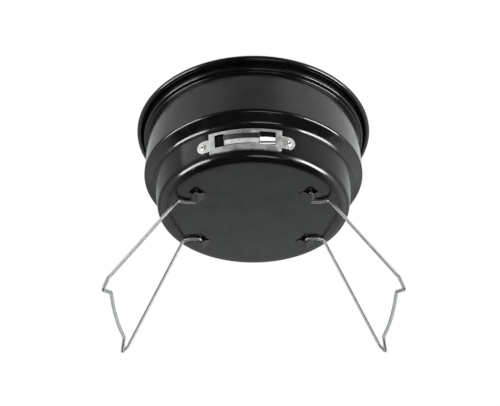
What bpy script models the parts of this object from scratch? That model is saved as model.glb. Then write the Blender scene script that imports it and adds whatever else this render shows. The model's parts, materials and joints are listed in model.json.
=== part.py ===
"""Portable kettle charcoal grill: a stepped steel bowl on two folding wire legs.

The frame has +Z up and its origin on the ground, under the bowl's axis.
The air vent faces -Y and the legs stand to -X and +X.
Sizes are metres. Profile heights are measured from the underside of the bowl's base.
"""
import math

import bmesh
import bpy
from mathutils import Matrix, Vector

MM = 0.001
GAP = 0.3 * MM              # clearance between neighbouring pieces

# Bowl: one deep-drawn sheet with two tiers, a grid ledge and a rolled rim
RIM_RADIUS = 170.0 * MM
BOWL_HEIGHT = 140.7 * MM
SHEET = 1.0 * MM
CURL_RADIUS = 3.74 * MM     # outside radius of the rolled rim
BAND_RADIUS = 159.3 * MM    # short band between the rim and the grid ledge
LEDGE_HEIGHT = 125.3 * MM
WALL_TOP_RADIUS = 153.4 * MM
SHOULDER_RADIUS = 154.2 * MM
SHOULDER_HEIGHT = 56.9 * MM
TIER_TOP_RADIUS = 138.5 * MM
TIER_TOP_HEIGHT = 47.2 * MM
TIER_FOOT_RADIUS = 133.2 * MM
CORNER_RADIUS = 14.0 * MM   # between the lower wall and the flat base
BOWL_SEGMENTS = 48

# Leg clips: four arched straps under the base, which hold the legs' pins
CLIP_X = 75.6 * MM
CLIP_Y = 58.0 * MM
LEG_SHIFT_Y = 6.8 * MM      # the clips and legs sit this far behind the axis
CLIP_HALF_LENGTH = 15.0 * MM
CLIP_ARCH_HALF_LENGTH = 11.5 * MM
CLIP_HALF_WIDTH = 9.8 * MM
CLIP_TIP_HALF_WIDTH = 3.2 * MM
CLIP_ARCH_DEPTH = 5.7 * MM
CLIP_SHEET = 0.8 * MM

# Legs: one bent wire each
LEG_WIRE = 4.5 * MM
PIN_DEPTH = 3.0 * MM        # pin axis below the underside of the base
PIN_TIP_Y = 66.6 * MM
ELBOW_Y = 45.3 * MM
CRANK_LENGTH = 25.0 * MM
BEND_Y = 49.5 * MM
ARM_SLOPE = math.radians(63.3)
ARM_END = (160.5 * MM, 93.5 * MM)   # distance down the arm, and half spread
FOOT_TIP = (175.0 * MM, 86.5 * MM)
HOOK_END = (163.5 * MM, 62.0 * MM)
BAR_BOW = 3.6 * MM

# Vent: a frame riveted to the lower wall, with a curved slider inside it
VENT_AZIMUTH = math.radians(-4.4)
VENT_HEIGHT = 24.6 * MM
FRAME_HALF_LENGTH = 45.9 * MM
FRAME_HALF_HEIGHT = 14.6 * MM
FRAME_DEPTH = 3.9 * MM
FRAME_SHEET = 0.9 * MM
WALL_CLEARANCE = 0.4 * MM
WINDOW_HALF_LENGTH = 38.3 * MM
WINDOW_BOTTOM = -7.2 * MM
WINDOW_TOP = 11.1 * MM
EAR_RADIUS = 8.5 * MM
RIVET_REACH = 55.9 * MM     # vent centre to rivet, along the wall
RIVET_HOLE_RADIUS = 2.7 * MM
SLIDER_AZIMUTH = math.radians(-6.05)
SLIDER_HALF_LENGTH = 22.3 * MM
SLIDER_HALF_HEIGHT = 13.1 * MM
SLIDER_SHEET = 0.8 * MM
AIR_HOLE_START = math.radians(-2.0)
AIR_HOLE_END = math.radians(12.0)
AIR_HOLE_BOTTOM = 17.0 * MM
AIR_HOLE_TOP = 30.6 * MM
BEND_STEP = 6.0 * MM        # length of one facet of a curved sheet

# Charcoal grate, on the shoulder, and cooking grid, on the ledge
COAL_RING_RADIUS = 146.5 * MM
COAL_WIRE = 4.5 * MM
COAL_BAR = 4.0 * MM
COAL_PITCH = 20.2 * MM
COAL_BARS_PER_SIDE = 6
COOK_RING_RADIUS = 155.3 * MM
COOK_WIRE = 5.0 * MM
COOK_BAR = 3.0 * MM
COOK_PITCH = 19.5 * MM
COOK_BARS_PER_SIDE = 7
CROSS_WIRE_X = 62.0 * MM

BLACK_ENAMEL = (0.012, 0.013, 0.013)
ZINC = (0.55, 0.57, 0.56)
BRIGHT_PLATE = (0.62, 0.62, 0.60)
DARK_STEEL = (0.18, 0.18, 0.18)


def clear_scene():
    for scene_object in list(bpy.data.objects):
        bpy.data.objects.remove(scene_object, do_unlink=True)


def make_material(name, colour, roughness, metallic):
    material = bpy.data.materials.new(name)
    material.use_nodes = True
    shader = material.node_tree.nodes["Principled BSDF"]
    shader.inputs["Base Color"].default_value = (*colour, 1.0)
    shader.inputs["Roughness"].default_value = roughness
    shader.inputs["Metallic"].default_value = metallic
    return material


def add_mesh(name, bm, material, matrix=None):
    bmesh.ops.recalc_face_normals(bm, faces=bm.faces[:])
    mesh = bpy.data.meshes.new(name)
    bm.to_mesh(mesh)
    bm.free()
    mesh.shade_smooth()
    mesh.set_sharp_from_angle(angle=math.radians(35))
    mesh.materials.append(material)
    piece = bpy.data.objects.new(name, mesh)
    bpy.context.scene.collection.objects.link(piece)
    if matrix is not None:
        piece.matrix_world = matrix
    return piece


def apply_boolean(piece, cutter, operation):
    modifier = piece.modifiers.new(operation.title(), "BOOLEAN")
    modifier.operation = operation
    modifier.object = cutter
    modifier.solver = "EXACT"
    cutter.hide_render = True
    cutter.display_type = "WIRE"
    depsgraph = bpy.context.evaluated_depsgraph_get()
    result = bpy.data.meshes.new_from_object(piece.evaluated_get(depsgraph))
    piece.modifiers.remove(modifier)
    piece.data = result
    bpy.data.objects.remove(cutter, do_unlink=True)


def arc(centre_r, centre_z, radius, start, end, steps):
    """Points of a circular arc in the (r, z) plane, angles in degrees from +r."""
    angles = [math.radians(start + (end - start) * i / steps) for i in range(steps + 1)]
    return [(centre_r + radius * math.cos(a), centre_z + radius * math.sin(a)) for a in angles]


def revolve(profile, segments):
    """Spin an (r, z) polyline round Z into a surface."""
    bm = bmesh.new()
    verts = [bm.verts.new((r, 0.0, z)) for r, z in profile]
    edges = [bm.edges.new(pair) for pair in zip(verts, verts[1:])]
    bmesh.ops.spin(bm, geom=verts + edges, cent=(0, 0, 0), axis=(0, 0, 1),
                   angle=2 * math.pi, steps=segments, use_merge=True)
    bmesh.ops.remove_doubles(bm, verts=bm.verts[:], dist=0.00001)
    return bm


def box(low, high):
    bm = bmesh.new()
    size = [h - l for l, h in zip(low, high)]
    middle = [(h + l) / 2 for l, h in zip(low, high)]
    matrix = Matrix.Translation(middle) @ Matrix.Diagonal((*size, 1.0))
    bmesh.ops.create_cube(bm, size=1.0, matrix=matrix)
    return bm


# ---------------------------------------------------------------- wire pieces

def round_corners(points, radii, steps=5):
    """Replace each inner corner of a 3-D polyline by an arc of the given radius."""
    path = [points[0]]
    for before, corner, after, radius in zip(points, points[1:], points[2:], radii):
        back = (before - corner).normalized()
        ahead = (after - corner).normalized()
        half = back.angle(ahead) / 2
        reach = radius / math.tan(half)
        centre = corner + (back + ahead).normalized() * radius / math.sin(half)
        start = (corner + back * reach - centre).normalized()
        end = (corner + ahead * reach - centre).normalized()
        path += [centre + radius * start.slerp(end, i / steps) for i in range(steps + 1)]
    path.append(points[-1])
    return path


def add_wire(name, path, diameter, material, origin, closed=False, bevel_resolution=2):
    curve = bpy.data.curves.new(name, "CURVE")
    curve.dimensions = "3D"
    curve.bevel_depth = diameter / 2
    curve.bevel_resolution = bevel_resolution
    curve.render_resolution_u = 0
    curve.use_fill_caps = not closed
    spline = curve.splines.new("POLY")
    spline.points.add(len(path) - 1)
    for spline_point, place in zip(spline.points, path):
        spline_point.co = (*(Vector(place) - origin), 1.0)
    spline.use_cyclic_u = closed
    curve.materials.append(material)
    piece = bpy.data.objects.new(name, curve)
    piece.location = origin
    bpy.context.scene.collection.objects.link(piece)
    return piece


def half_leg_path():
    """The leg's wire from its pin's tip to its foot bar, for side +X and +Y, pin axis at x = z = 0."""
    down = Vector((math.cos(ARM_SLOPE), 0.0, -math.sin(ARM_SLOPE)))
    bend = Vector((CRANK_LENGTH, BEND_Y, 0.0))

    def on_arm(distance, half_spread):
        place = Vector((CRANK_LENGTH, 0.0, 0.0)) + down * distance
        place.y = half_spread
        return place

    corners = [
        Vector((0.0, PIN_TIP_Y, 0.0)),
        Vector((0.0, ELBOW_Y, 0.0)),
        Vector((CRANK_LENGTH * 0.55, ELBOW_Y, 0.0)),
        bend,
        on_arm(*ARM_END),
        on_arm(*FOOT_TIP),
        on_arm(*HOOK_END),
        on_arm(HOOK_END[0] + BAR_BOW * 0.35, HOOK_END[1] * 0.75),
    ]
    radii = [4.5 * MM, 12.0 * MM, 6.0 * MM, 6.0 * MM, 3.2 * MM, 4.0 * MM]
    path = round_corners(corners, radii)
    for share in (0.5, 0.25):
        path.append(on_arm(HOOK_END[0] + BAR_BOW * (1 - share * share), HOOK_END[1] * share))
    return path, on_arm(HOOK_END[0] + BAR_BOW, 0.0)


def leg_path():
    half, middle = half_leg_path()
    mirrored = [Vector((p.x, -p.y, p.z)) for p in reversed(half)]
    return half + [middle] + mirrored


# The feet stand on the ground, which sets the height of the base
BASE_HEIGHT = PIN_DEPTH + LEG_WIRE / 2 - min(p.z for p in leg_path())


def add_leg(name, side, material):
    origin = Vector((side * CLIP_X, LEG_SHIFT_Y, BASE_HEIGHT - PIN_DEPTH))
    path = [Vector((side * p.x, p.y, p.z)) + origin for p in leg_path()]
    add_wire(name, path, LEG_WIRE, material, origin, bevel_resolution=3)


# ----------------------------------------------------------------------- bowl

def bowl_profile():
    """Middle of the sheet, from the rim's curled edge down to the axis."""
    half = SHEET / 2
    curl_r = RIM_RADIUS - CURL_RADIUS
    curl_z = BOWL_HEIGHT - CURL_RADIUS
    lip = 3.5 * MM
    step = 2.0 * MM
    band_r = BAND_RADIUS - half
    ledge_z = LEDGE_HEIGHT + half
    wall_r = WALL_TOP_RADIUS - half
    tilt = math.degrees(math.atan2(TIER_TOP_RADIUS - TIER_FOOT_RADIUS, TIER_TOP_HEIGHT - CORNER_RADIUS))
    corner_r = TIER_FOOT_RADIUS - CORNER_RADIUS
    profile = arc(curl_r, curl_z, CURL_RADIUS - half, 150, 450, 7)
    profile += arc(band_r + lip, BOWL_HEIGHT - half - lip, lip, 90, 180, 2)
    profile += arc(band_r - step, ledge_z + step, step, 0, -90, 2)
    profile += arc(wall_r + step, ledge_z - step, step, 90, 180, 2)
    profile += arc(SHOULDER_RADIUS - half - 3 * MM, SHOULDER_HEIGHT + 3 * MM, 3 * MM, 0, -58, 2)
    profile += [(TIER_TOP_RADIUS + 1.5 * MM - half, TIER_TOP_HEIGHT + 1.3 * MM)]
    profile += [(TIER_TOP_RADIUS - half, TIER_TOP_HEIGHT - 1.0 * MM)]
    profile += arc(corner_r - half, CORNER_RADIUS, CORNER_RADIUS - half, -tilt, -90, 4)
    profile += [(0.0, half)]
    return [(r, z + BASE_HEIGHT) for r, z in profile]


def add_clip(name, x, y, material):
    """One lozenge-shaped strap whose arch lets a leg's pin through along Y."""
    bm = bmesh.new()
    origin = Vector((x, y, BASE_HEIGHT))
    steps = 14
    sections = []
    for i in range(steps + 1):
        along = CLIP_HALF_LENGTH * (2 * i / steps - 1)
        inner = min(abs(along) / CLIP_ARCH_HALF_LENGTH, 1.0)
        dip = CLIP_ARCH_DEPTH * (0.5 + 0.5 * math.cos(math.pi * inner))
        narrow = (abs(along) / CLIP_HALF_LENGTH) ** 1.4
        side = CLIP_HALF_WIDTH + (CLIP_TIP_HALF_WIDTH - CLIP_HALF_WIDTH) * narrow
        high = -GAP - dip
        low = high - CLIP_SHEET
        corners = ((-side, low), (side, low), (side, high), (-side, high))
        sections.append([bm.verts.new((along, across, level)) for across, level in corners])
    for first, second in zip(sections, sections[1:]):
        for k in range(4):
            bm.faces.new((first[k], first[(k + 1) % 4], second[(k + 1) % 4], second[k]))
    bm.faces.new(sections[0])
    bm.faces.new(sections[-1])
    add_mesh(name, bm, material, Matrix.Translation(origin))


def add_bowl(material):
    shell = revolve(bowl_profile(), BOWL_SEGMENTS)
    bowl = add_mesh("bowl", shell, material)
    solidify = bowl.modifiers.new("Sheet", "SOLIDIFY")
    solidify.thickness = SHEET
    solidify.offset = 0.0
    solidify.use_even_offset = True
    depsgraph = bpy.context.evaluated_depsgraph_get()
    bowl.data = bpy.data.meshes.new_from_object(bowl.evaluated_get(depsgraph))
    bowl.modifiers.clear()
    apply_boolean(bowl, air_hole_cutter(), "DIFFERENCE")
    for side in (-1, 1):
        apply_boolean(bowl, rivet_drill(side), "DIFFERENCE")
    bowl.data.shade_smooth()
    bowl.data.set_sharp_from_angle(angle=math.radians(35))
    return bowl


# ----------------------------------------------------------------------- vent

WALL_TILT = math.atan2(TIER_TOP_RADIUS - TIER_FOOT_RADIUS, TIER_TOP_HEIGHT - CORNER_RADIUS)
VENT_RADIUS = TIER_FOOT_RADIUS + (VENT_HEIGHT - CORNER_RADIUS) * math.tan(WALL_TILT)


def on_wall(azimuth, up, out):
    """Point beside the lower wall: azimuth from -Y towards +X, up along the wall, out from it."""
    radius = VENT_RADIUS + up * math.sin(WALL_TILT) + out * math.cos(WALL_TILT)
    height = BASE_HEIGHT + VENT_HEIGHT + up * math.cos(WALL_TILT) - out * math.sin(WALL_TILT)
    return Vector((radius * math.sin(azimuth), -radius * math.cos(azimuth), height))


def wrap(bm, azimuth):
    """Bend a flat sheet, made in (along, up, out), round the lower wall."""
    ends = [v.co.x for v in bm.verts]
    cuts = int((max(ends) - min(ends)) / BEND_STEP)
    for i in range(1, cuts + 1):
        place = min(ends) + (max(ends) - min(ends)) * i / (cuts + 1)
        geometry = bm.verts[:] + bm.edges[:] + bm.faces[:]
        bmesh.ops.bisect_plane(bm, geom=geometry, dist=0.000001, plane_co=(place, 0, 0), plane_no=(1, 0, 0))
    bmesh.ops.triangulate(bm, faces=bm.faces[:])
    for vert in bm.verts:
        vert.co = on_wall(azimuth + vert.co.x / VENT_RADIUS, vert.co.y, vert.co.z)


def wall_matrix(azimuth):
    """Frame on the lower wall: +X along it, +Y up it and +Z straight out of it."""
    out = (on_wall(azimuth, 0.0, 1.0) - on_wall(azimuth, 0.0, 0.0)).normalized()
    turn = out.to_track_quat("Z", "Y").to_matrix().to_4x4()
    return Matrix.Translation(on_wall(azimuth, 0.0, 0.0)) @ turn


def rivet_matrix(side):
    return wall_matrix(VENT_AZIMUTH + side * RIVET_REACH / VENT_RADIUS)


def air_hole_cutter():
    half = VENT_RADIUS * math.sin((AIR_HOLE_END - AIR_HOLE_START) / 2)
    low = (AIR_HOLE_BOTTOM - VENT_HEIGHT) / math.cos(WALL_TILT)
    high = (AIR_HOLE_TOP - VENT_HEIGHT) / math.cos(WALL_TILT)
    block = box((-half, low, -6 * MM), (half, high, 4 * MM))
    return add_mesh("air_hole", block, None, wall_matrix((AIR_HOLE_START + AIR_HOLE_END) / 2))


def rivet_drill(side):
    bm = bmesh.new()
    bmesh.ops.create_cone(bm, cap_ends=True, segments=20, radius1=RIVET_HOLE_RADIUS,
                          radius2=RIVET_HOLE_RADIUS, depth=14 * MM)
    return add_mesh("rivet_drill", bm, None, rivet_matrix(side))


def ear_plate(side):
    """Flat ear with a round end, one sheet thick, reaching back under the frame's end wall."""
    bm = bmesh.new()
    root = side * (FRAME_HALF_LENGTH - FRAME_SHEET / 2)
    outline = [(root, -EAR_RADIUS), (root, EAR_RADIUS)]
    steps = 8
    for i in range(steps + 1):
        turn = math.pi / 2 - math.pi * i / steps
        outline.append((side * (RIVET_REACH + EAR_RADIUS * math.cos(turn)), EAR_RADIUS * math.sin(turn)))
    face = bm.faces.new([bm.verts.new((x, y, WALL_CLEARANCE)) for x, y in outline])
    extruded = bmesh.ops.extrude_face_region(bm, geom=[face])
    top = [item for item in extruded["geom"] if isinstance(item, bmesh.types.BMVert)]
    bmesh.ops.translate(bm, verts=top, vec=(0, 0, FRAME_SHEET))
    return bm


def add_vent_frame(material):
    length = FRAME_HALF_LENGTH
    height = FRAME_HALF_HEIGHT
    sheet = FRAME_SHEET
    shell = box((-length, -height, WALL_CLEARANCE + 0.1 * MM), (length, height, FRAME_DEPTH))
    frame = add_mesh("vent_frame", shell, material)
    channel = box((-length + sheet, -height + sheet, -MM), (length - sheet, height - sheet, FRAME_DEPTH - sheet))
    apply_boolean(frame, add_mesh("channel", channel, material), "DIFFERENCE")
    window = box((-WINDOW_HALF_LENGTH, WINDOW_BOTTOM, 0.0), (WINDOW_HALF_LENGTH, WINDOW_TOP, 2 * FRAME_DEPTH))
    apply_boolean(frame, add_mesh("window", window, material), "DIFFERENCE")
    for side in (-1, 1):
        apply_boolean(frame, add_mesh("ear", ear_plate(side), material), "UNION")
        drill = bmesh.new()
        bmesh.ops.create_cone(drill, cap_ends=True, segments=16, radius1=RIVET_HOLE_RADIUS,
                              radius2=RIVET_HOLE_RADIUS, depth=10 * MM,
                              matrix=Matrix.Translation((side * RIVET_REACH, 0, 0)))
        apply_boolean(frame, add_mesh("drill", drill, material), "DIFFERENCE")
    bm = bmesh.new()
    bm.from_mesh(frame.data)
    wrap(bm, VENT_AZIMUTH)
    bm.to_mesh(frame.data)
    bm.free()
    return frame


def add_vent_slider(material):
    """Curved plate with an upturned tab at each end and a small pip; it turns about the bowl's axis."""
    low = 1.4 * MM
    high = low + SLIDER_SHEET
    length = SLIDER_HALF_LENGTH
    slider = add_mesh("vent_slider", box((-length, -SLIDER_HALF_HEIGHT, low), (length, SLIDER_HALF_HEIGHT, high)),
                      material)
    for side in (-1, 1):
        ends = sorted((side * length, side * (length - SLIDER_SHEET)))
        tab = box((ends[0] + 0.01 * MM, WINDOW_BOTTOM + 0.7 * MM, low + 0.1 * MM),
                  (ends[1] - 0.01 * MM, WINDOW_TOP - 0.7 * MM, FRAME_DEPTH + 0.6 * MM))
        apply_boolean(slider, add_mesh("tab", tab, material), "UNION")
    pip = bmesh.new()
    bmesh.ops.create_uvsphere(pip, u_segments=10, v_segments=6, radius=2.0 * MM,
                              matrix=Matrix.Translation((-4 * MM, -0.8 * MM, high)) @ Matrix.Diagonal((1, 1, 0.35, 1)))
    apply_boolean(slider, add_mesh("pip", pip, material), "UNION")
    bm = bmesh.new()
    bm.from_mesh(slider.data)
    wrap(bm, SLIDER_AZIMUTH)
    bm.to_mesh(slider.data)
    bm.free()
    return slider


def add_rivet(side_name, side, body_material, pin_material):
    """Blind rivet: a tubular body, and the stub of the pulled pin that swelled its inner end."""
    seat = WALL_CLEARANCE + FRAME_SHEET + GAP
    back = -SHEET - 0.7 * MM
    body = [
        (1.25 * MM, seat + 0.9 * MM), (2.0 * MM, seat + 1.3 * MM), (3.2 * MM, seat + 1.0 * MM),
        (4.25 * MM, seat + 0.2 * MM), (4.25 * MM, seat), (2.35 * MM, seat),
        (2.35 * MM, back), (3.3 * MM, back - 0.3 * MM), (3.4 * MM, back - 1.3 * MM),
        (2.5 * MM, back - 2.4 * MM), (1.25 * MM, back - 2.5 * MM), (1.25 * MM, seat + 0.9 * MM),
    ]
    add_mesh("rivet_" + side_name, revolve(body, 20), body_material, rivet_matrix(side))
    tail = back - 2.5 * MM - GAP
    pin = [
        (0.0, seat + 0.5 * MM), (0.95 * MM, seat + 0.4 * MM), (0.95 * MM, tail),
        (1.7 * MM, tail - 0.3 * MM), (1.9 * MM, tail - 1.1 * MM), (1.2 * MM, tail - 2.0 * MM), (0.0, tail - 2.2 * MM),
    ]
    add_mesh("rivet_pin_" + side_name, revolve(pin, 12), pin_material, rivet_matrix(side))


# ---------------------------------------------------------- grates and grids

def ring_path(radius, height):
    turns = [2 * math.pi * i / BOWL_SEGMENTS for i in range(BOWL_SEGMENTS)]
    return [Vector((radius * math.cos(a), radius * math.sin(a), height)) for a in turns]


def add_grid(prefix, ring_radius, height, wire, bar, pitch, bars_per_side, material):
    """Round ring and two cross wires on one level, with parallel bars lying on them along X."""
    origin = Vector((0.0, 0.0, height))
    add_wire(prefix + "_ring", ring_path(ring_radius, height), wire, material, origin, closed=True)
    inner = ring_radius - wire / 2
    facet = math.cos(math.pi / BOWL_SEGMENTS)
    for name, x in (("left", -CROSS_WIRE_X), ("right", CROSS_WIRE_X)):
        reach = math.sqrt((inner * facet - GAP) ** 2 - (CROSS_WIRE_X + wire / 2) ** 2)
        path = [Vector((x, -reach, height)), Vector((x, reach, height))]
        add_wire(prefix + "_cross_wire_" + name, path, wire, material, origin)
    level = height + wire / 2 + bar / 2 + GAP
    for i in range(2 * bars_per_side + 1):
        y = (i - bars_per_side) * pitch
        reach = math.sqrt(ring_radius ** 2 - (abs(y) + bar / 2) ** 2)
        path = [Vector((-reach, y, level)), Vector((reach, y, level))]
        add_wire("%s_bar_%02d" % (prefix, i + 1), path, bar, material, origin)


def coal_ring_height():
    """The ring's wire rests in the cone of the shoulder."""
    slope = math.atan2(SHOULDER_HEIGHT - TIER_TOP_HEIGHT, SHOULDER_RADIUS - TIER_TOP_RADIUS)
    under = TIER_TOP_HEIGHT + (COAL_RING_RADIUS - TIER_TOP_RADIUS) * math.tan(slope)
    return BASE_HEIGHT + under + (SHEET + COAL_WIRE / 2 + 2 * GAP) / math.cos(slope)


def main():
    clear_scene()
    enamel = make_material("black_enamel", BLACK_ENAMEL, 0.22, 0.0)
    zinc = make_material("zinc_plate", ZINC, 0.32, 1.0)
    bright = make_material("bright_plate", BRIGHT_PLATE, 0.25, 1.0)
    steel = make_material("rivet_pin_steel", DARK_STEEL, 0.4, 1.0)
    add_bowl(enamel)
    for side_name, x in (("left", -CLIP_X), ("right", CLIP_X)):
        add_clip("leg_clip_front_" + side_name, x, LEG_SHIFT_Y - CLIP_Y, enamel)
        add_clip("leg_clip_rear_" + side_name, x, LEG_SHIFT_Y + CLIP_Y, enamel)
    add_leg("left_leg", -1, zinc)
    add_leg("right_leg", 1, zinc)
    add_vent_frame(zinc)
    add_vent_slider(zinc)
    add_rivet("left", -1, zinc, steel)
    add_rivet("right", 1, zinc, steel)
    add_grid("charcoal_grate", COAL_RING_RADIUS, coal_ring_height(), COAL_WIRE, COAL_BAR,
             COAL_PITCH, COAL_BARS_PER_SIDE, bright)
    cook_height = BASE_HEIGHT + LEDGE_HEIGHT + SHEET + COOK_WIRE / 2 + GAP
    add_grid("cooking_grid", COOK_RING_RADIUS, cook_height, COOK_WIRE, COOK_BAR,
             COOK_PITCH, COOK_BARS_PER_SIDE, bright)


main()
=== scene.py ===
"""Looks of the portable kettle charcoal grill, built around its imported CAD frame.

Every piece repeats its CAD node's place and size with finer geometry and a procedural finish.
The frame has +Z up, the ground at z = 0 and the air vent facing -Y. Sizes are metres.
"""
import json
import math

import bmesh
import bpy
from mathutils import Matrix, Vector, noise

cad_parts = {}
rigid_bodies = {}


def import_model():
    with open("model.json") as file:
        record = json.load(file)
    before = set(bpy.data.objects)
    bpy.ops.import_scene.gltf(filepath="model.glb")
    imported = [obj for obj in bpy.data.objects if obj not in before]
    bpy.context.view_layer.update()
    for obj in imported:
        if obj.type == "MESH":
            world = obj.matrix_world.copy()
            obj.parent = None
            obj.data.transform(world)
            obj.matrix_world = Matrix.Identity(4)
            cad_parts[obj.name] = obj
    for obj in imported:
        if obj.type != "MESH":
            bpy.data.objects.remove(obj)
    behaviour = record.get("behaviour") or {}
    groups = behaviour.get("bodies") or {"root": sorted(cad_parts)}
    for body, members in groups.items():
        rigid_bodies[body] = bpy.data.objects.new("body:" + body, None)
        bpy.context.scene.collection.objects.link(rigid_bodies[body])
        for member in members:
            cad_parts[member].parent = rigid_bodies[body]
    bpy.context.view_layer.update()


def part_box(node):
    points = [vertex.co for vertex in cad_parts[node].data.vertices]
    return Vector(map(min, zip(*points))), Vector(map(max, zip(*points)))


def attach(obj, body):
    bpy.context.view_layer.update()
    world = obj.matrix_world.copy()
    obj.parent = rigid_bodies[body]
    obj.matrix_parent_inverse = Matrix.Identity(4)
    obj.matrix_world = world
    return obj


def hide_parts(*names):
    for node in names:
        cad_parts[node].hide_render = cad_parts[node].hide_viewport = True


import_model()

MM = 0.001
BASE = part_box("bowl")[0].z      # underside of the bowl's base
GAP = 0.3 * MM

# Bowl sheet. Radii are of its outer face, heights are above the underside of the base.
SHEET = 1.0 * MM
RIM_RADIUS = 169.95 * MM
BOWL_HEIGHT = 140.65 * MM
CURL_RADIUS = 3.74 * MM
BAND_RADIUS = 159.3 * MM
BAND_FLARE = 1.9 * MM               # the band leans out by this much up to the rim
LEDGE_HEIGHT = 125.3 * MM
WALL_TOP_RADIUS = 153.4 * MM
SHOULDER_RADIUS = 154.2 * MM
SHOULDER_CORNER_HEIGHT = 58.3 * MM
TIER_TOP_RADIUS = 138.7 * MM
TIER_TOP_HEIGHT = 47.5 * MM
TIER_FOOT_RADIUS = 133.2 * MM
CORNER_RADIUS = 14.0 * MM
WALL_TILT = math.atan2(5.3, 33.2)   # lean of the lower wall
BOWL_SEGMENTS = 192
ROW_HEIGHT = 4.5 * MM
WAVE_SIZE = 38 * MM
WAVE_DEPTH = 0.07 * MM
BASE_WAVES = 3.0                    # the flat base is this much less even than the walls

# Leg clips
CLIP_X = 75.6 * MM
CLIP_Y = 58.0 * MM
LEG_SHIFT_Y = 6.8 * MM
CLIP_HALF_LENGTH = 15.0 * MM
CLIP_ARCH_HALF_LENGTH = 11.5 * MM
CLIP_HALF_WIDTH = 9.8 * MM
CLIP_TIP_HALF_WIDTH = 3.2 * MM
CLIP_ARCH_DEPTH = 5.7 * MM
CLIP_SHEET = 0.8 * MM

# Legs
LEG_WIRE = 4.36 * MM
PIN_DEPTH = 3.0 * MM
PIN_TIP_Y = 66.6 * MM
ELBOW_Y = 45.3 * MM
CRANK_LENGTH = 25.0 * MM
BEND_Y = 49.5 * MM
ARM_SLOPE = math.radians(63.3)
ARM_END = (160.5 * MM, 93.5 * MM)
FOOT_TIP = (175.0 * MM, 86.5 * MM)
HOOK_END = (163.5 * MM, 62.0 * MM)
BAR_BOW = 3.6 * MM

# Vent
VENT_AZIMUTH = math.radians(-4.4)
VENT_HEIGHT = 24.6 * MM
VENT_RADIUS = TIER_FOOT_RADIUS + (VENT_HEIGHT - CORNER_RADIUS) * math.tan(WALL_TILT)
FRAME_HALF_LENGTH = 45.9 * MM
FRAME_HALF_HEIGHT = 14.6 * MM
FRAME_DEPTH = 3.9 * MM
FRAME_SHEET = 0.9 * MM
WALL_CLEARANCE = 0.4 * MM
WINDOW_HALF_LENGTH = 38.3 * MM
WINDOW_BOTTOM = -7.2 * MM
WINDOW_TOP = 11.1 * MM
EAR_RADIUS = 8.5 * MM
RIVET_REACH = 55.9 * MM
RIVET_HOLE_RADIUS = 2.7 * MM
NOTCH_START = -21.0 * MM            # shallow relief in the frame's lower edge
NOTCH_END = 24.5 * MM
NOTCH_DEPTH = 0.7 * MM
SLIDER_AZIMUTH = math.radians(-6.05)
SLIDER_HALF_LENGTH = 22.3 * MM
SLIDER_HALF_HEIGHT = 13.1 * MM
SLIDER_SHEET = 0.8 * MM
SLIDER_OUT = 1.4 * MM
SWELL_TOP = 2.2 * MM                # the slider swells out from here down to its finger edge
SWELL_BOTTOM = -6.1 * MM
SWELL_OUT = 1.8 * MM
AIR_HOLE = (math.radians(-2.0), math.radians(12.0), 17.0 * MM, 30.6 * MM)

# Charcoal grate and cooking grid
CHARCOAL_BARS = 13
COOKING_BARS = 15
CROSS_WIRE_X = 62.0 * MM
CROSS_WIRE_WELD = 1.2 * MM      # how far a cross wire's ends run on into the ring
WELD_SINK = 0.25 * MM
WELD_SWELL = 0.16               # a bar's extra girth at a weld, as a share of its radius
WELD_SPREAD = 2.2 * MM

# Studio
CAMERA_PLACE = (0.0, -0.93292, -0.47476)
CAMERA_PITCH = math.radians(35.198)
CAMERA_YAW = math.radians(-0.2945)
CAMERA_ROLL = math.radians(0.0)
CAMERA_LENS_MM = 58.95
FLOOR_HALF_WIDTH = 20.0
LAMP_DISTANCE = 1.6
STRIP_DISTANCE = 1.3


# ------------------------------------------------------------------ materials

class Nodes:
    """Short calls for the number nodes that the finishes and the light tent share."""

    def __init__(self, tree):
        self.tree = tree

    def ranged(self, value, start, end, low=0.0, high=1.0):
        """Smooth step from low, where the value is at start, to high, where it is at end."""
        node = self.tree.nodes.new("ShaderNodeMapRange")
        node.interpolation_type = "SMOOTHSTEP"
        for name, number in (("From Min", start), ("From Max", end), ("To Min", low), ("To Max", high)):
            node.inputs[name].default_value = number
        self.tree.links.new(value, node.inputs["Value"])
        return node.outputs["Result"]

    def combined(self, first, second, operation, clamped=False):
        node = self.tree.nodes.new("ShaderNodeMath")
        node.operation = operation
        node.use_clamp = clamped
        self.tree.links.new(first, node.inputs[0])
        self.tree.links.new(second, node.inputs[1])
        return node.outputs[0]

    def product(self, first, second):
        return self.combined(first, second, "MULTIPLY")

    def blended(self, share, first, second):
        """Colour that goes from first to second with share. Each is a colour or a socket."""
        node = self.tree.nodes.new("ShaderNodeMix")
        node.data_type = "RGBA"
        self.tree.links.new(share, node.inputs["Factor"])
        for socket, colour in ((node.inputs[6], first), (node.inputs[7], second)):
            if isinstance(colour, tuple):
                socket.default_value = (*colour, 1.0)
            else:
                self.tree.links.new(colour, socket)
        return node.outputs[2]


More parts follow.
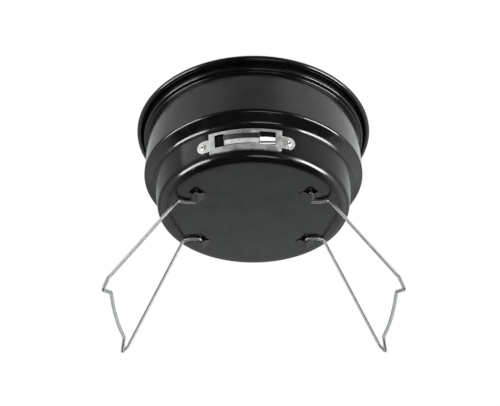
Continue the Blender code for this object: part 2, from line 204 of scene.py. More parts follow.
class Finish(Nodes):
    """A node material on one Principled shader, with short calls for its procedural parts."""

    def __init__(self, name, coordinate="Object"):
        self.material = bpy.data.materials.new(name)
        self.material.use_nodes = True
        super().__init__(self.material.node_tree)
        self.shader = self.tree.nodes["Principled BSDF"]
        self.places = self.tree.nodes.new("ShaderNodeTexCoord").outputs[coordinate]
        self.normal = None

    def stretched(self, stretch):
        mapping = self.tree.nodes.new("ShaderNodeMapping")
        mapping.inputs["Scale"].default_value = stretch
        self.tree.links.new(self.places, mapping.inputs["Vector"])
        return mapping.outputs["Vector"]

    def noise(self, scale, detail=3.0, roughness=0.55, stretch=None):
        texture = self.tree.nodes.new("ShaderNodeTexNoise")
        texture.inputs["Scale"].default_value = scale
        texture.inputs["Detail"].default_value = detail
        texture.inputs["Roughness"].default_value = roughness
        places = self.stretched(stretch) if stretch else self.places
        self.tree.links.new(places, texture.inputs["Vector"])
        return texture.outputs["Fac"]

    def cells(self, scale):
        texture = self.tree.nodes.new("ShaderNodeTexVoronoi")
        texture.inputs["Scale"].default_value = scale
        self.tree.links.new(self.places, texture.inputs["Vector"])
        return texture.outputs["Color"]

    def edges(self):
        return self.tree.nodes.new("ShaderNodeNewGeometry").outputs["Pointiness"]

    def total(self, first, second):
        return self.combined(first, second, "ADD", clamped=True)

    def bump(self, height, depth, strength=1.0):
        node = self.tree.nodes.new("ShaderNodeBump")
        node.inputs["Strength"].default_value = strength
        node.inputs["Distance"].default_value = depth
        self.tree.links.new(height, node.inputs["Height"])
        if self.normal:
            self.tree.links.new(self.normal, node.inputs["Normal"])
        self.normal = node.outputs["Normal"]

    def done(self, colour, roughness, **constants):
        self.tree.links.new(colour, self.shader.inputs["Base Color"])
        self.tree.links.new(roughness, self.shader.inputs["Roughness"])
        if self.normal:
            self.tree.links.new(self.normal, self.shader.inputs["Normal"])
        for name, number in constants.items():
            self.shader.inputs[name.replace("_", " ")].default_value = number
        return self.material


def enamel_finish():
    """Gloss black baked enamel: orange peel, faint smudges, dust and a little wear on edges."""
    finish = Finish("black_enamel")
    smudge = finish.ranged(finish.noise(34.0, 5.0, 0.6), 0.44, 0.68)
    streak = finish.ranged(finish.noise(60.0, 4.0, 0.6), 0.45, 0.8)
    dust = finish.ranged(finish.noise(1400.0, 2.0), 0.74, 0.8)
    worn = finish.ranged(finish.edges(), 0.545, 0.62)
    chipped = finish.product(worn, finish.ranged(finish.noise(260.0, 4.0), 0.5, 0.62))
    clean = finish.blended(smudge, (0.0022, 0.0024, 0.0022), (0.0004, 0.0004, 0.0004))
    dusty = finish.blended(dust, clean, (0.05, 0.05, 0.048))
    colour = finish.blended(chipped, dusty, (0.045, 0.044, 0.042))
    rough = finish.ranged(finish.total(smudge, streak), 0.0, 1.4, 0.13, 0.27)
    finish.bump(finish.noise(26.0, 2.0), 0.35 * MM, 0.55)
    finish.bump(finish.noise(620.0, 2.0), 0.03 * MM, 0.5)
    return finish.done(colour, rough, IOR=1.5)


def sheet_zinc_finish(name, dull, bright, roughness):
    """Zinc-plated stamped sheet: fine spangle, rolling lines, and edges lighter in colour, partly as rubbed
    wear and partly as a painted highlight.
    """
    finish = Finish(name)
    spangle = finish.ranged(finish.cells(420.0), 0.2, 0.9)
    cloud = finish.ranged(finish.noise(120.0, 5.0, 0.62), 0.35, 0.68)
    lines = finish.noise(240.0, 3.0, stretch=(0.12, 1.0, 1.0))
    # Convex edges get a colour brighter than the plate's own: partly rubbed wear, partly a painted
    # highlight along the edges.
    rubbed_edge_and_painted_highlight = finish.ranged(finish.edges(), 0.51, 0.58)
    plain = finish.blended(spangle, dull, bright)
    clouded = finish.blended(cloud, plain, tuple(1.08 * c for c in bright))
    colour = finish.blended(rubbed_edge_and_painted_highlight, clouded, tuple(1.25 * c for c in bright))
    rough = finish.ranged(finish.total(cloud, lines), 0.4, 1.4, *roughness)
    finish.bump(lines, 0.04 * MM, 0.5)
    finish.bump(finish.noise(900.0, 3.0), 0.03 * MM, 0.6)
    return finish.done(colour, rough, Metallic=1.0)


def wire_finish(name, dull, bright, roughness):
    """Plated drawn wire: die lines along its length, with faint rubbed and dull patches."""
    finish = Finish(name, "UV")
    lines = finish.noise(1.0, 3.0, stretch=(30.0, 26.0, 1.0))
    patch = finish.ranged(finish.noise(1.0, 4.0, stretch=(90.0, 3.0, 1.0)), 0.35, 0.7)
    plain = finish.blended(patch, dull, bright)
    colour = finish.blended(finish.ranged(lines, 0.62, 0.8), plain, tuple(0.72 * c for c in dull))
    rough = finish.ranged(finish.total(lines, patch), 0.3, 1.4, *roughness)
    finish.bump(lines, 0.03 * MM, 0.5)
    return finish.done(colour, rough, Metallic=1.0)


def pin_finish():
    """Plain steel stub with a torn, darker end."""
    finish = Finish("rivet_pin")
    grain = finish.noise(1500.0, 4.0, 0.65)
    colour = finish.blended(finish.ranged(grain, 0.35, 0.7), (0.10, 0.10, 0.10), (0.30, 0.30, 0.29))
    finish.bump(grain, 0.08 * MM, 0.8)
    return finish.done(colour, finish.ranged(grain, 0.3, 0.7, 0.35, 0.6), Metallic=1.0)


def floor_finish():
    """Pale matt paper seen from above. It lets light and sight through from underneath."""
    finish = Finish("studio_paper")
    grain = finish.noise(300.0, 4.0)
    colour = finish.blended(grain, (0.80, 0.80, 0.79), (0.86, 0.86, 0.85))
    finish.bump(grain, 0.1 * MM, 0.3)
    finish.done(colour, finish.ranged(grain, 0.2, 0.8, 0.75, 0.9))
    tree = finish.tree
    clear = tree.nodes.new("ShaderNodeBsdfTransparent")
    either = tree.nodes.new("ShaderNodeMixShader")
    side = tree.nodes.new("ShaderNodeNewGeometry")
    tree.links.new(side.outputs["Backfacing"], either.inputs["Fac"])
    tree.links.new(finish.shader.outputs["BSDF"], either.inputs[1])
    tree.links.new(clear.outputs["BSDF"], either.inputs[2])
    tree.links.new(either.outputs["Shader"], tree.nodes["Material Output"].inputs["Surface"])
    return finish.material


ENAMEL = enamel_finish()
SHEET_ZINC = sheet_zinc_finish("zinc_plate", (0.66, 0.685, 0.665), (0.80, 0.82, 0.79), (0.34, 0.52))
SLIDER_ZINC = sheet_zinc_finish("zinc_slider", (0.73, 0.74, 0.725), (0.85, 0.86, 0.84), (0.08, 0.15))
LEG_FINISH = wire_finish("leg_wire", (0.66, 0.67, 0.66), (0.78, 0.79, 0.78), (0.32, 0.46))
GRID_FINISH = wire_finish("bright_plate", (0.60, 0.60, 0.585), (0.76, 0.76, 0.74), (0.10, 0.26))
PIN_STEEL = pin_finish()


# ------------------------------------------------------------------- geometry

def add_piece(name, bm, material, body, nodes, matrix=None, crease=35.0):
    """Turn a bmesh into a piece that rides on a CAD body and stands for its CAD nodes."""
    bmesh.ops.recalc_face_normals(bm, faces=bm.faces[:])
    mesh = bpy.data.meshes.new(name)
    bm.to_mesh(mesh)
    bm.free()
    mesh.materials.append(material)
    piece = bpy.data.objects.new(name, mesh)
    bpy.context.scene.collection.objects.link(piece)
    if matrix is not None:
        piece.matrix_world = matrix
    smooth(piece, crease)
    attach(piece, body)
    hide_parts(*nodes)
    return piece


def smooth(piece, crease=35.0):
    piece.data.shade_smooth()
    piece.data.set_sharp_from_angle(angle=math.radians(crease))


def apply_modifiers(piece):
    depsgraph = bpy.context.evaluated_depsgraph_get()
    piece.data = bpy.data.meshes.new_from_object(piece.evaluated_get(depsgraph))
    piece.modifiers.clear()


def apply_boolean(piece, cutter_bm, operation):
    mesh = bpy.data.meshes.new("cutter")
    bmesh.ops.recalc_face_normals(cutter_bm, faces=cutter_bm.faces[:])
    cutter_bm.to_mesh(mesh)
    cutter_bm.free()
    cutter = bpy.data.objects.new("cutter", mesh)
    bpy.context.scene.collection.objects.link(cutter)
    modifier = piece.modifiers.new("Cut", "BOOLEAN")
    modifier.operation = operation
    modifier.object = cutter
    modifier.solver = "EXACT"
    apply_modifiers(piece)
    bpy.data.objects.remove(cutter, do_unlink=True)


def arc(centre_r, centre_z, radius, start, end, steps):
    angles = [math.radians(start + (end - start) * i / steps) for i in range(steps + 1)]
    return [Vector((centre_r + radius * math.cos(a), 0.0, centre_z + radius * math.sin(a))) for a in angles]


def round_corners(points, radii, steps):
    """Replace each inner corner of a polyline by an arc. A radius of 0 keeps the corner."""
    path = [points[0]]
    for before, corner, after, radius in zip(points, points[1:], points[2:], radii):
        if radius == 0.0:
            path.append(corner)
            continue
        back = (before - corner).normalized()
        ahead = (after - corner).normalized()
        half = back.angle(ahead) / 2
        reach = radius / math.tan(half)
        centre = corner + (back + ahead).normalized() * radius / math.sin(half)
        start = (corner + back * reach - centre).normalized()
        end = (corner + ahead * reach - centre).normalized()
        path += [centre + radius * start.slerp(end, i / steps) for i in range(steps + 1)]
    path.append(points[-1])
    return path


def split_long(path, longest):
    """Add points so that no stretch of the path is longer than the given length."""
    fine = [path[0]]
    for start, end in zip(path, path[1:]):
        parts = max(1, math.ceil((end - start).length / longest))
        fine += [start.lerp(end, i / parts) for i in range(1, parts + 1)]
    return fine


def revolve(profile, segments):
    bm = bmesh.new()
    verts = [bm.verts.new(point) for point in profile]
    edges = [bm.edges.new(pair) for pair in zip(verts, verts[1:])]
    bmesh.ops.spin(bm, geom=verts + edges, cent=(0, 0, 0), axis=(0, 0, 1),
                   angle=2 * math.pi, steps=segments, use_merge=True)
    bmesh.ops.remove_doubles(bm, verts=bm.verts[:], dist=0.00001)
    return bm


def box(low, high):
    bm = bmesh.new()
    size = [h - l for l, h in zip(low, high)]
    middle = [(h + l) / 2 for l, h in zip(low, high)]
    bmesh.ops.create_cube(bm, size=1.0, matrix=Matrix.Translation(middle) @ Matrix.Diagonal((*size, 1.0)))
    return bm


def cylinder(radius, depth, matrix, segments=48):
    bm = bmesh.new()
    bmesh.ops.create_cone(bm, cap_ends=True, segments=segments, radius1=radius, radius2=radius,
                          depth=depth, matrix=matrix)
    return bm


def merged(*parts):
    """One bmesh that holds several closed bodies."""
    whole = bmesh.new()
    for part in parts:
        mesh = bpy.data.meshes.new("part")
        part.to_mesh(mesh)
        part.free()
        whole.from_mesh(mesh)
        bpy.data.meshes.remove(mesh)
    return whole


def sweep(path, radii, sides=20, closed=False, end_round=0.45):
    """Round wire along a path, with its length and girth as UV and softly rounded ends."""
    bm = bmesh.new()
    uv_layer = bm.loops.layers.uv.new("UVMap")
    count = len(path)
    tangents = []
    for i in range(count):
        ahead = path[(i + 1) % count] if closed or i < count - 1 else path[i]
        back = path[i - 1] if closed or i > 0 else path[i]
        tangents.append((ahead - back).normalized())
    side = tangents[0].orthogonal().normalized()
    sections = []
    length = 0.0
    stops = [(path[i], tangents[i], radii[i]) for i in range(count)]
    if not closed:
        stops = end_stops(stops[0], -1, end_round)[::-1] + stops[1:-1] + end_stops(stops[-1], 1, end_round)
    previous = stops[0][0]
    for place, tangent, radius in stops:
        side = (side - tangent * side.dot(tangent)).normalized()
        up = tangent.cross(side)
        length += (place - previous).length
        previous = place
        ring = []
        for k in range(sides):
            turn = 2 * math.pi * k / sides
            ring.append(bm.verts.new(place + radius * (math.cos(turn) * side + math.sin(turn) * up)))
        sections.append((ring, length))
    pairs = list(zip(sections, sections[1:]))
    if closed:
        pairs.append((sections[-1], (sections[0][0], length + (path[0] - path[-1]).length)))
    for (first, start), (second, end) in pairs:
        for k in range(sides):
            after = (k + 1) % sides
            face = bm.faces.new((first[k], first[after], second[after], second[k]))
            corners = ((start, k), (start, k + 1), (end, k + 1), (end, k))
            for loop, (along, around) in zip(face.loops, corners):
                loop[uv_layer].uv = (along, around / sides)
    if not closed:
        bm.faces.new(sections[0][0])
        bm.faces.new(sections[-1][0])
    return bm


def end_stops(stop, direction, end_round):
    """The last few sections of a wire, which draw in to a soft end."""
    place, tangent, radius = stop
    reach = radius * end_round
    stops = []
    for i in range(5):
        turn = math.pi / 2 * i / 4
        inward = reach * (1.0 - math.sin(turn))
        shrink = reach * (1.0 - math.cos(turn))
        stops.append((place - direction * tangent * inward, tangent, radius - shrink))
    return stops


# ----------------------------------------------------------------------- bowl

def bowl_profile():
    """Middle of the sheet, from the curled edge of the rim down to the axis."""
    half = SHEET / 2
    curl_r = RIM_RADIUS - CURL_RADIUS
    curl_z = BOWL_HEIGHT - CURL_RADIUS
    curl = arc(curl_r, curl_z, CURL_RADIUS - half, 150, 450, 40)
    foot_r = TIER_FOOT_RADIUS - (CORNER_RADIUS - half) * math.tan(WALL_TILT) - half
    corners = [
        (curl_r, BOWL_HEIGHT - half),
        (BAND_RADIUS + BAND_FLARE - half, BOWL_HEIGHT - half),
        (BAND_RADIUS - half, LEDGE_HEIGHT + half),
        (WALL_TOP_RADIUS - half, LEDGE_HEIGHT + half),
        (SHOULDER_RADIUS - half, SHOULDER_CORNER_HEIGHT),
        (TIER_TOP_RADIUS - half, TIER_TOP_HEIGHT),
        (foot_r, half),
        (0.0, half),
    ]
    bends = [radius * MM for radius in (3.0, 2.0, 2.0, 4.0, 11.0, 13.0)]    # one for each inner corner
    lower = round_corners([Vector((r, 0.0, z)) for r, z in corners], bends, 10)
    return split_long(curl + lower[1:], ROW_HEIGHT)


def add_waves(bm):
    """Faint unevenness of drawn sheet, which keeps the long reflections from being ruled."""
    for vert in bm.verts:
        if vert.co.z > LEDGE_HEIGHT:
            continue
        outward = Vector((vert.co.x, vert.co.y, 0.0))
        if outward.length < 118 * MM:
            direction = Vector((0.0, 0.0, BASE_WAVES))
        else:
            direction = outward.normalized()
        vert.co += direction * WAVE_DEPTH * noise.noise(vert.co / WAVE_SIZE)


def add_bowl():
    shell = revolve(bowl_profile(), BOWL_SEGMENTS)
    add_waves(shell)
    bmesh.ops.translate(shell, verts=shell.verts[:], vec=(0, 0, BASE))
    bowl = add_piece("bowl_shell", shell, ENAMEL, "bowl", ["bowl"])
    solidify = bowl.modifiers.new("Sheet", "SOLIDIFY")
    solidify.thickness = SHEET
    solidify.offset = 0.0
    solidify.use_even_offset = True
    apply_modifiers(bowl)
    drills = [cylinder(RIVET_HOLE_RADIUS, 14 * MM, rivet_matrix(side), 32) for side in (-1, 1)]
    apply_boolean(bowl, merged(air_hole(), *drills), "DIFFERENCE")
    smooth(bowl)
    return bowl


def clip_section(along):
    """Half width and upper level of a clip's strap at one place along its arch."""
    inner = min(abs(along) / CLIP_ARCH_HALF_LENGTH, 1.0)
    dip = CLIP_ARCH_DEPTH * (0.5 + 0.5 * math.cos(math.pi * inner))
    narrow = (abs(along) / CLIP_HALF_LENGTH) ** 1.4
    return CLIP_HALF_WIDTH + (CLIP_TIP_HALF_WIDTH - CLIP_HALF_WIDTH) * narrow, -dip


def add_clip(name, x, y):
    """Arched lozenge strap, welded flat to the base at both tips."""
    steps = 44
    across = 10
    bm = bmesh.new()
    grid = []
    for i in range(steps + 1):
        along = CLIP_HALF_LENGTH * (2 * i / steps - 1)
        side, level = clip_section(along)
        height = level - CLIP_SHEET / 2 - GAP
        row = [bm.verts.new((along, side * (2 * k / across - 1), height)) for k in range(across + 1)]
        grid.append(row)
    for first, second in zip(grid, grid[1:]):
        for k in range(across):
            bm.faces.new((first[k], first[k + 1], second[k + 1], second[k]))
    clip = add_piece(name + "_strap", bm, ENAMEL, "bowl", [name],
                     Matrix.Translation((x, y, BASE)))
    solidify = clip.modifiers.new("Sheet", "SOLIDIFY")
    solidify.thickness = CLIP_SHEET
    solidify.offset = 0.0
    bevel = clip.modifiers.new("Edge", "BEVEL")
    bevel.width = 0.22 * MM
    bevel.segments = 3
    bevel.limit_method = "ANGLE"
    bevel.angle_limit = math.radians(50)
    apply_modifiers(clip)
    smooth(clip)


# ----------------------------------------------------------------------- legs

def half_leg_path():
    """One leg's wire from its pin's tip to the middle of its foot bar, pin axis at x = z = 0."""
    down = Vector((math.cos(ARM_SLOPE), 0.0, -math.sin(ARM_SLOPE)))

    def on_arm(distance, half_spread):
        place = Vector((CRANK_LENGTH, 0.0, 0.0)) + down * distance
        place.y = half_spread
        return place

    corners = [
        Vector((0.0, PIN_TIP_Y, 0.0)),
        Vector((0.0, ELBOW_Y, 0.0)),
        Vector((CRANK_LENGTH * 0.55, ELBOW_Y, 0.0)),
        Vector((CRANK_LENGTH, BEND_Y, 0.0)),
        on_arm(*ARM_END),
        on_arm(*FOOT_TIP),
        on_arm(*HOOK_END),
        on_arm(HOOK_END[0] + BAR_BOW * 0.35, HOOK_END[1] * 0.75),
    ]
    radii = [radius * MM for radius in (4.5, 12.0, 6.0, 6.0, 3.2, 4.0)]
    path = round_corners(corners, radii, 12)
    for share in (0.6, 0.45, 0.3, 0.15):
        path.append(on_arm(HOOK_END[0] + BAR_BOW * (1 - share * share), HOOK_END[1] * share))
    return path, on_arm(HOOK_END[0] + BAR_BOW, 0.0)


def add_leg(name, side):
    half, middle = half_leg_path()
    whole = half + [middle] + [Vector((p.x, -p.y, p.z)) for p in reversed(half)]
    origin = Vector((side * CLIP_X, LEG_SHIFT_Y, BASE - PIN_DEPTH))
    path = split_long([Vector((side * p.x, p.y, p.z)) for p in whole], 6 * MM)
    wire = sweep(path, [LEG_WIRE / 2] * len(path), sides=24)
    add_piece(name + "_wire", wire, LEG_FINISH, name, [name], Matrix.Translation(origin))


# ----------------------------------------------------------------------- vent

def on_wall(azimuth, up, out):
    """Point beside the lower wall: azimuth from -Y towards +X, up along the wall, out from it."""
    radius = VENT_RADIUS + up * math.sin(WALL_TILT) + out * math.cos(WALL_TILT)
    height = BASE + VENT_HEIGHT + up * math.cos(WALL_TILT) - out * math.sin(WALL_TILT)
    return Vector((radius * math.sin(azimuth), -radius * math.cos(azimuth), height))


def slice_up(bm, axis, step):
    """Cut the mesh across an axis at even steps, so that it can bend and can show rubbed wear and a painted
    highlight at its edges.
    """
    ends = [v.co[axis] for v in bm.verts]
    low, high = min(ends), max(ends)
    cuts = int((high - low) / step)
    normal = Vector((axis == 0, axis == 1, axis == 2))
    for i in range(1, cuts + 1):
        place = normal * (low + (high - low) * i / (cuts + 1))
        geometry = bm.verts[:] + bm.edges[:] + bm.faces[:]
        bmesh.ops.bisect_plane(bm, geom=geometry, dist=0.000001, plane_co=place, plane_no=normal)


def wrap(bm, azimuth):
    """Bend a flat sheet, made in (along, up, out), round the lower wall."""
    slice_up(bm, 0, 2.0 * MM)
    slice_up(bm, 1, 1.2 * MM)
    for vert in bm.verts:
        vert.co = on_wall(azimuth + vert.co.x / VENT_RADIUS, vert.co.y, vert.co.z)


def wrap_piece(piece, azimuth):
    bm = bmesh.new()
    bm.from_mesh(piece.data)
    wrap(bm, azimuth)
    bm.to_mesh(piece.data)
    bm.free()
    smooth(piece)


def round_edges(piece, width):
    bevel = piece.modifiers.new("Edge", "BEVEL")
    bevel.width = width
    bevel.segments = 3
    bevel.limit_method = "ANGLE"
    bevel.angle_limit = math.radians(40)
    apply_modifiers(piece)


def wall_matrix(azimuth):
    """Frame on the lower wall: +X along it, +Y up it and +Z straight out of it."""
    out = (on_wall(azimuth, 0.0, 1.0) - on_wall(azimuth, 0.0, 0.0)).normalized()
    turn = out.to_track_quat("Z", "Y").to_matrix().to_4x4()
    return Matrix.Translation(on_wall(azimuth, 0.0, 0.0)) @ turn


def rivet_matrix(side):
    return wall_matrix(VENT_AZIMUTH + side * RIVET_REACH / VENT_RADIUS)


def air_hole():
    start, end, bottom, top = AIR_HOLE
    half = VENT_RADIUS * math.sin((end - start) / 2)
    low = (bottom - VENT_HEIGHT) / math.cos(WALL_TILT)
    high = (top - VENT_HEIGHT) / math.cos(WALL_TILT)
    block = box((-half, low, -6 * MM), (half, high, 4 * MM))
    block.transform(wall_matrix((start + end) / 2))
    return block


def ear_plate(side):
    """Flat ear with a round end, one sheet thick, reaching back under the frame's end wall."""
    bm = bmesh.new()
    root = side * (FRAME_HALF_LENGTH - FRAME_SHEET / 2)
    outline = [(root, -EAR_RADIUS), (root, EAR_RADIUS)]
    steps = 28
    for i in range(steps + 1):
        turn = math.pi / 2 - math.pi * i / steps
        outline.append((side * (RIVET_REACH + EAR_RADIUS * math.cos(turn)), EAR_RADIUS * math.sin(turn)))
    face = bm.faces.new([bm.verts.new((x, y, WALL_CLEARANCE)) for x, y in outline])
    extruded = bmesh.ops.extrude_face_region(bm, geom=[face])
    top = [item for item in extruded["geom"] if isinstance(item, bmesh.types.BMVert)]
    bmesh.ops.translate(bm, verts=top, vec=(0, 0, FRAME_SHEET))
    return bm


def add_vent_frame():
    length = FRAME_HALF_LENGTH
    height = FRAME_HALF_HEIGHT
    sheet = FRAME_SHEET
    shell = box((-length, -height, WALL_CLEARANCE + 0.1 * MM), (length, height, FRAME_DEPTH))
    piece = add_piece("vent_frame_pressing", shell, SHEET_ZINC, "bowl", ["vent_frame"])
    channel = box((-length + sheet, -height + sheet, -MM),
                  (length - sheet, height - sheet, FRAME_DEPTH - sheet))
    apply_boolean(piece, channel, "DIFFERENCE")
    window = box((-WINDOW_HALF_LENGTH, WINDOW_BOTTOM, 0.0),
                 (WINDOW_HALF_LENGTH, WINDOW_TOP, 2 * FRAME_DEPTH))
    apply_boolean(piece, window, "DIFFERENCE")
    notch = box((NOTCH_START, -height - MM, -MM), (NOTCH_END, -height + NOTCH_DEPTH, 2 * FRAME_DEPTH))
    apply_boolean(piece, notch, "DIFFERENCE")
    for side in (-1, 1):
        apply_boolean(piece, ear_plate(side), "UNION")
        drill = cylinder(RIVET_HOLE_RADIUS, 10 * MM, Matrix.Translation((side * RIVET_REACH, 0, 0)), 32)
        apply_boolean(piece, drill, "DIFFERENCE")
    round_edges(piece, 0.28 * MM)
    wrap_piece(piece, VENT_AZIMUTH)


def slider_sheet():
    """Middle of the slider's sheet, flat above and swelling out below as a finger rest."""
    middle = SLIDER_OUT + SLIDER_SHEET / 2
    profile = [(SLIDER_HALF_HEIGHT, middle), (SWELL_TOP, middle), (SWELL_BOTTOM, middle + SWELL_OUT),
               (SWELL_BOTTOM - 0.7 * MM, middle), (-SLIDER_HALF_HEIGHT, middle)]
    bends = [4 * MM, 0.6 * MM, 0.6 * MM]
    points = round_corners([Vector((0.0, up, out)) for up, out in profile], bends, 5)
    bm = bmesh.new()
    ends = (-SLIDER_HALF_LENGTH, SLIDER_HALF_LENGTH)
    rows = [[bm.verts.new((x, p.y, p.z)) for p in points] for x in ends]
    for k in range(len(points) - 1):
        bm.faces.new((rows[0][k], rows[0][k + 1], rows[1][k + 1], rows[1][k]))
    return bm


def add_vent_slider():
    """Curved plate with an upturned tab at each end and a small pip; it turns about the bowl's axis."""
    low = SLIDER_OUT
    length = SLIDER_HALF_LENGTH
    piece = add_piece("vent_slider_plate", slider_sheet(), SLIDER_ZINC, "vent_slider",
                      ["vent_slider"])
    solidify = piece.modifiers.new("Sheet", "SOLIDIFY")
    solidify.thickness = SLIDER_SHEET
    solidify.offset = 0.0
    solidify.use_even_offset = True
    apply_modifiers(piece)
    for side in (-1, 1):
        ends = sorted((side * length, side * (length - SLIDER_SHEET)))
        tab = box((ends[0] + 0.01 * MM, WINDOW_BOTTOM + 0.7 * MM, low + 0.1 * MM),
                  (ends[1] - 0.01 * MM, WINDOW_TOP - 0.7 * MM, FRAME_DEPTH + 0.6 * MM))
        apply_boolean(piece, tab, "UNION")
    round_edges(piece, 0.15 * MM)
    pip = bmesh.new()
    flat = Matrix.Diagonal((1, 1, 0.35, 1))
    bmesh.ops.create_uvsphere(pip, u_segments=28, v_segments=16, radius=1.5 * MM,
                              matrix=Matrix.Translation((-4 * MM, 0.8 * MM, low + SLIDER_SHEET)) @ flat)
    apply_boolean(piece, pip, "UNION")
    wrap_piece(piece, SLIDER_AZIMUTH)


def add_rivet(side_name, side):
    """Blind rivet: a tubular body, and the stub of the pulled pin that swelled its inner end."""
    seat = WALL_CLEARANCE + FRAME_SHEET + GAP
    back = -SHEET - 0.7 * MM

    def rounded(corners, radii):
        return round_corners([Vector((r * MM, 0.0, z)) for r, z in corners], [r * MM for r in radii], 6)

    body = rounded(
        [(1.25, seat), (1.25, seat + 0.8 * MM), (2.0, seat + 1.5 * MM), (3.3, seat + 1.15 * MM),
         (4.25, seat + 0.3 * MM), (4.25, seat), (2.35, seat), (2.35, back), (3.5, back - 0.4 * MM),
         (3.5, back - 1.6 * MM),
         (2.4, back - 2.5 * MM), (1.25, back - 2.5 * MM), (1.25, seat)],
        [0.2, 0.5, 0.9, 0.12, 0.1, 0.1, 0.2, 0.4, 0.5, 0.3, 0.15])
    add_piece("rivet_body_" + side_name, revolve(body, 48), SHEET_ZINC, "bowl",
              ["rivet_" + side_name], rivet_matrix(side))
    tail = back - 2.5 * MM - GAP
    pin = rounded(
        [(0.0, seat + 0.35 * MM), (0.55, seat + 0.5 * MM), (0.95, seat + 0.3 * MM), (0.95, tail),
         (1.9, tail - 0.2 * MM), (1.9, tail - 1.9 * MM), (0.0, tail - 2.2 * MM)],
        [0.1, 0.1, 0.1, 0.4, 0.7])
    add_piece("rivet_stub_" + side_name, revolve(pin, 32), PIN_STEEL, "bowl",
              ["rivet_pin_" + side_name], rivet_matrix(side))


# ----------------------------------------------------------- grate and grid

def ring_path(radius, count=144):
    turns = [2 * math.pi * i / count for i in range(count)]
    return [Vector((radius * math.cos(a), radius * math.sin(a), 0.0)) for a in turns]


def welded_radii(path, radius, weld_xs):
    """Wire radius along a bar, swollen a little where the bar is welded to the wires below."""
    radii = []
    for place in path:
        nearest = min(abs(abs(place.x) - x) for x in weld_xs)
        radii.append(radius * (1.0 + WELD_SWELL * math.exp(-((nearest / WELD_SPREAD) ** 2))))
    return radii


def add_grid(prefix, bars):
    """Ring and two cross wires on one level, with bars welded on top of them."""
    low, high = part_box(prefix + "_ring")
    height = (low.z + high.z) / 2
    wire = high.z - low.z
    ring_radius = high.x - wire / 2
    thick = wire / 2 * 0.99
    origin = Matrix.Translation((0.0, 0.0, height))
    path = ring_path(ring_radius)
    add_piece(prefix + "_rim_wire", sweep(path, [thick] * len(path), closed=True), GRID_FINISH,
              prefix, [prefix + "_ring"], origin)
    for side_name, x in (("left", -CROSS_WIRE_X), ("right", CROSS_WIRE_X)):
        node = "%s_cross_wire_%s" % (prefix, side_name)
        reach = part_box(node)[1].y + CROSS_WIRE_WELD
        path = split_long([Vector((x, -reach, 0.0)), Vector((x, reach, 0.0))], 12 * MM)
        add_piece(node + "_rod", sweep(path, [thick] * len(path)), GRID_FINISH,
                  prefix, [node], origin)
    for i in range(1, bars + 1):
        node = "%s_bar_%02d" % (prefix, i)
        low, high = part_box(node)
        bar = high.z - low.z
        y = (low.y + high.y) / 2
        level = (low.z + high.z) / 2 - height - GAP - WELD_SINK
        ends = [Vector((low.x, y, level)), Vector((high.x, y, level))]
        path = split_long(ends, 1.5 * MM)
        edge_x = math.sqrt(ring_radius ** 2 - y ** 2)
        radii = welded_radii(path, bar / 2 * 0.97, (CROSS_WIRE_X, edge_x))
        add_piece(node + "_rod", sweep(path, radii, sides=16), GRID_FINISH,
                  prefix, [node], origin)


# ---------------------------------------------------------------------- studio

def add_camera():
    pitch, yaw, roll = CAMERA_PITCH, CAMERA_YAW, CAMERA_ROLL
    forward = Vector((math.sin(yaw) * math.cos(pitch), math.cos(yaw) * math.cos(pitch), math.sin(pitch)))
    level_right = forward.cross(Vector((0, 0, 1))).normalized()
    level_up = level_right.cross(forward)
    right = level_right * math.cos(roll) + level_up * math.sin(roll)
    up = level_up * math.cos(roll) - level_right * math.sin(roll)
    data = bpy.data.cameras.new("camera")
    data.lens = CAMERA_LENS_MM
    data.sensor_width = 36.0
    data.clip_start = 0.01
    camera = bpy.data.objects.new("camera", data)
    bpy.context.scene.collection.objects.link(camera)
    turn = Matrix((right, up, -forward)).transposed().to_4x4()
    camera.matrix_world = Matrix.Translation(CAMERA_PLACE) @ turn
    bpy.context.scene.camera = camera


def add_softbox(name, lit, aim, size, power, distance=LAMP_DISTANCE):
    """Area light that faces the bowl and lights one group of pieces.

    The aim is the lamp's azimuth, from -Y towards +X, and its elevation, in degrees. The size is its
    width and height.
    """
    azimuth, elevation = (math.radians(angle) for angle in aim)
    level = math.cos(elevation)
    direction = Vector((math.sin(azimuth) * level, -math.cos(azimuth) * level, math.sin(elevation)))
    data = bpy.data.lights.new(name, "AREA")
    data.shape = "RECTANGLE"
    data.size, data.size_y = size
    data.energy = power
    lamp = bpy.data.objects.new(name, data)
    bpy.context.scene.collection.objects.link(lamp)
    middle = Vector((0.0, 0.0, BASE + BOWL_HEIGHT / 2))
    turn = direction.to_track_quat("Z", "Y").to_matrix().to_4x4()
    lamp.matrix_world = Matrix.Translation(middle + direction * distance) @ turn
    lamp.visible_camera = False
    lamp.light_linking.receiver_collection = lit


class Sky(Nodes):
    """The direction's own numbers, x, y and z from -1 to 1, which shape the light tent."""

    def __init__(self, tree):
        super().__init__(tree)
        places = tree.nodes.new("ShaderNodeTexCoord")
        split = tree.nodes.new("ShaderNodeSeparateXYZ")
        tree.links.new(places.outputs["Generated"], split.inputs["Vector"])
        self.x, self.y, self.z = split.outputs

    def mixed(self, factor, first, second):
        node = self.tree.nodes.new("ShaderNodeMix")
        for socket, value in zip((0, 2, 3), (factor, first, second)):
            self.tree.links.new(value, node.inputs[socket])
        return node.outputs[0]


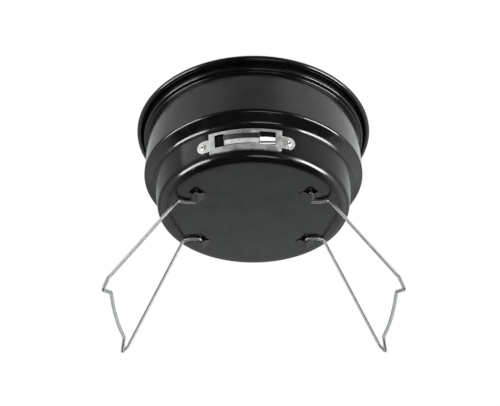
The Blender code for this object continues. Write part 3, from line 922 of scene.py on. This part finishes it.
def add_world():
    """White backdrop to look at, and a light tent for the gloss to reflect.

    The tent is dim in front, at the photographer's side, and dark in a gap straight below, which is
    wider in front. It is brighter on the right, and has a dimmer band just above the horizon.
    """
    world = bpy.data.worlds.new("studio")
    world.use_nodes = True
    bpy.context.scene.world = world
    tree = world.node_tree
    tree.nodes.clear()
    sky = Sky(tree)
    dim_front = sky.ranged(sky.y, -0.95, -0.49, 0.06, 1.0)
    dim_back = sky.ranged(sky.y, 0.60, 1.0, 1.0, 0.65)
    wider_in_front = sky.ranged(sky.y, -0.25, 0.35, -0.24, 0.0)
    dark_gap = sky.ranged(sky.combined(sky.z, wider_in_front, "ADD"), -0.85, -0.50, 0.01, 1.0)
    sides = sky.ranged(sky.x, -0.9, 0.9, 0.80, 1.22)
    dim_band = sky.product(sky.ranged(sky.z, 0.32, 0.68, 0.40, 1.0), sides)
    low_band = sky.ranged(sky.z, -0.30, 0.06, 1.0, 0.0)
    banded = sky.mixed(low_band, dim_band, sides)
    strength = sky.product(sky.product(dim_front, dim_back), sky.product(dark_gap, banded))
    green_back = sky.blended(sky.ranged(sky.y, 0.3, 0.8), (1.0, 1.0, 1.0), (0.96, 1.025, 0.975))
    tent = tree.nodes.new("ShaderNodeBackground")
    tree.links.new(strength, tent.inputs["Strength"])
    tree.links.new(green_back, tent.inputs["Color"])
    white = tree.nodes.new("ShaderNodeBackground")
    white.inputs["Strength"].default_value = 1.0
    white.inputs["Color"].default_value = (1.0, 1.0, 1.0, 1.0)
    sight = tree.nodes.new("ShaderNodeLightPath")
    either = tree.nodes.new("ShaderNodeMixShader")
    out = tree.nodes.new("ShaderNodeOutputWorld")
    tree.links.new(sight.outputs["Is Camera Ray"], either.inputs["Fac"])
    tree.links.new(tent.outputs["Background"], either.inputs[1])
    tree.links.new(white.outputs["Background"], either.inputs[2])
    tree.links.new(either.outputs["Shader"], out.inputs["Surface"])


def add_floor():
    bm = bmesh.new()
    bmesh.ops.create_grid(bm, x_segments=1, y_segments=1, size=FLOOR_HALF_WIDTH)
    mesh = bpy.data.meshes.new("floor")
    bm.to_mesh(mesh)
    bm.free()
    mesh.materials.append(floor_finish())
    floor = bpy.data.objects.new("floor", mesh)
    bpy.context.scene.collection.objects.link(floor)
    floor.location.z = -0.5 * MM
    floor.visible_glossy = False
    floor.visible_shadow = False


def build():
    add_bowl()
    for side_name, x in (("left", -CLIP_X), ("right", CLIP_X)):
        add_clip("leg_clip_front_" + side_name, x, LEG_SHIFT_Y - CLIP_Y)
        add_clip("leg_clip_rear_" + side_name, x, LEG_SHIFT_Y + CLIP_Y)
    add_leg("left_leg", -1)
    add_leg("right_leg", 1)
    add_vent_frame()
    add_vent_slider()
    add_rivet("left", -1)
    add_rivet("right", 1)
    add_grid("charcoal_grate", CHARCOAL_BARS)
    add_grid("cooking_grid", COOKING_BARS)


def light_group(name, wanted):
    """Collection of the mesh pieces that a softbox lights."""
    group = bpy.data.collections.new(name)
    for piece in bpy.context.scene.objects:
        if piece.type == "MESH" and wanted(piece.name):
            group.objects.link(piece)
    return group


def light():
    add_world()
    add_floor()
    add_camera()
    body = light_group("lit_strongly", lambda name: "leg_wire" not in name and name != "floor")
    legs = light_group("lit_gently", lambda name: "leg_wire" in name)
    add_softbox("left_softbox", body, aim=(-68, -24), size=(1.0, 0.46), power=25.0)
    add_softbox("left_fill", body, aim=(-66, 27), size=(0.8, 0.5), power=1.2)
    add_softbox("right_softbox", body, aim=(67, -24), size=(1.0, 0.48), power=40.0)
    add_softbox("front_strip", body, aim=(14, -50), size=(0.5, 0.2), power=1.6, distance=STRIP_DISTANCE)
    add_softbox("left_glow", legs, aim=(-68, -21), size=(1.0, 0.66), power=2.6)
    add_softbox("right_glow", legs, aim=(67, -20), size=(1.0, 0.72), power=2.8)
    add_softbox("front_glow", legs, aim=(0, -35), size=(1.6, 0.8), power=3.0)
    bpy.context.scene.view_settings.view_transform = "Standard"


build()
light()
